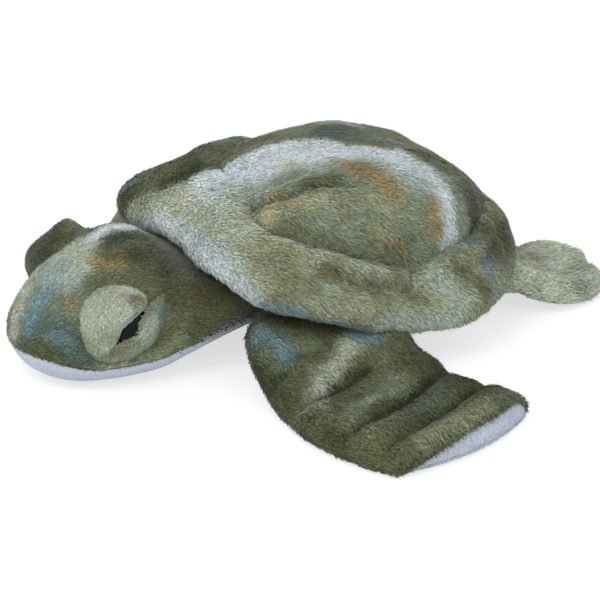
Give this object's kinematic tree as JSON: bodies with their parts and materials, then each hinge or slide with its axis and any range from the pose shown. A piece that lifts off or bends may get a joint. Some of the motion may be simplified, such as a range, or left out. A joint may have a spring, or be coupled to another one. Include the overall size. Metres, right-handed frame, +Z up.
{
  "type": "plush turtle",
  "caption": "Stuffed plush sea turtle lying flat, with a padded shell, broad front flippers, small rear flippers and plastic eyes.",
  "frame": {"origin": "on the floor under the middle of the belly", "axes": "-Y towards the nose, +X to the turtle's left side, +Z up"},
  "size_m": [0.4656, 0.4111, 0.1123],
  "materials": {
    "printed_plush": "short pile plush, printed in soft olive, sage, pale blue, cream and ochre patches",
    "white_plush": "short pile plush, plain white",
    "polyester_filling": "loose white fibre",
    "eye_plastic": "polished black",
    "washer_plastic": "plain white"
  },
  "bodies": {
    "body": {"shell_top_panel": "printed_plush", "shell_rim": "printed_plush", "belly_panel": "white_plush", "body_filling": "polyester_filling"},
    "neck": {"neck": "printed_plush"},
    "head": {"head_crown_panel": "printed_plush", "chin_panel": "white_plush", "head_filling": "polyester_filling", "eye_left": "eye_plastic", "eye_right": "eye_plastic", "eye_washer_left": "washer_plastic", "eye_washer_right": "washer_plastic", "upper_eyelid_left": "printed_plush", "upper_eyelid_right": "printed_plush", "lower_eyelid_left": "printed_plush", "lower_eyelid_right": "printed_plush"},
    "left_front_flipper": {"left_front_flipper_top_panel": "printed_plush", "left_front_flipper_underside_panel": "white_plush", "left_front_flipper_filling": "polyester_filling"},
    "right_front_flipper": {"right_front_flipper_top_panel": "printed_plush", "right_front_flipper_underside_panel": "white_plush", "right_front_flipper_filling": "polyester_filling"},
    "left_rear_flipper": {"left_rear_flipper_top_panel": "printed_plush", "left_rear_flipper_underside_panel": "white_plush", "left_rear_flipper_filling": "polyester_filling"},
    "right_rear_flipper": {"right_rear_flipper_top_panel": "printed_plush", "right_rear_flipper_underside_panel": "white_plush", "right_rear_flipper_filling": "polyester_filling"}
  },
  "joints": [
    {"name": "head_turn", "type": "hinge", "parent": "body", "child": "neck", "pos_m": [0, -0.098, 0.033], "axis": [0, 0, 1], "range_deg": [-15, 15], "stiffness_Nm_per_rad": 0.3},
    {"name": "head_nod", "type": "hinge", "parent": "neck", "child": "head", "pos_m": [0, -0.14, 0.033], "axis": [1, 0, 0], "range_deg": [-12, 20], "stiffness_Nm_per_rad": 0.5},
    {"name": "left_front_flipper_lift", "type": "hinge", "parent": "body", "child": "left_front_flipper", "pos_m": [0.0818, -0.0653, 0.028], "axis": [-0.2924, -0.9563, 0], "range_deg": [-35, 8], "stiffness_Nm_per_rad": 0.4},
    {"name": "right_front_flipper_lift", "type": "hinge", "parent": "body", "child": "right_front_flipper", "pos_m": [-0.0818, -0.0653, 0.028], "axis": [-0.2924, 0.9563, 0], "range_deg": [-35, 8], "stiffness_Nm_per_rad": 0.4},
    {"name": "left_rear_flipper_lift", "type": "hinge", "parent": "body", "child": "left_rear_flipper", "pos_m": [0.0556, 0.0895, 0.022], "axis": [0.9563, -0.2924, 0], "range_deg": [-35, 12], "stiffness_Nm_per_rad": 0.2},
    {"name": "right_rear_flipper_lift", "type": "hinge", "parent": "body", "child": "right_rear_flipper", "pos_m": [-0.0556, 0.0895, 0.022], "axis": [0.9563, 0.2924, 0], "range_deg": [-35, 12], "stiffness_Nm_per_rad": 0.2}
  ]
}
